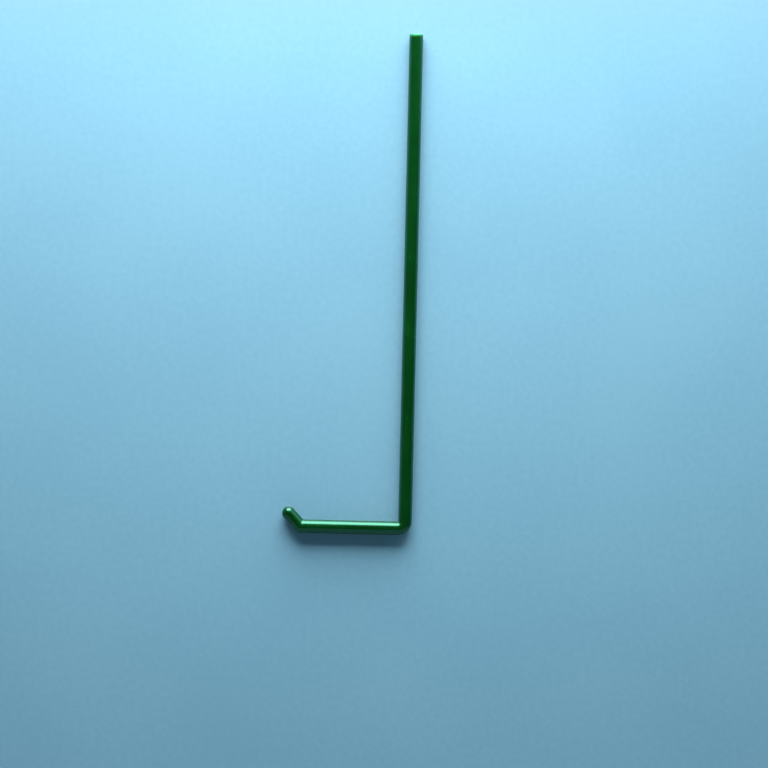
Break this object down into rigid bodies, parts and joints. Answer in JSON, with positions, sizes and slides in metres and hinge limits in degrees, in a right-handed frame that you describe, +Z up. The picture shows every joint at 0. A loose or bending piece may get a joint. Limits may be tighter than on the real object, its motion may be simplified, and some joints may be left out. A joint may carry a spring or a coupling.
{
  "type": "cell spreader",
  "caption": "L-shaped moulded plastic rod with a long round handle, a short straight spreading arm and a bent-back tip, for spreading liquid over agar plates.",
  "frame": {"origin": "centre of the part's footprint, on the surface that it lies on", "axes": "+Y along the handle, towards its free end; +X from the tip towards the handle; +Z up, square to the flat plane of the L"},
  "size_m": [0.0378, 0.146, 0.004],
  "materials": {
    "green_plastic": "smooth moulded dark green, semi-gloss"
  },
  "bodies": {
    "root": {"spreader": "green_plastic"}
  },
  "joints": []
}
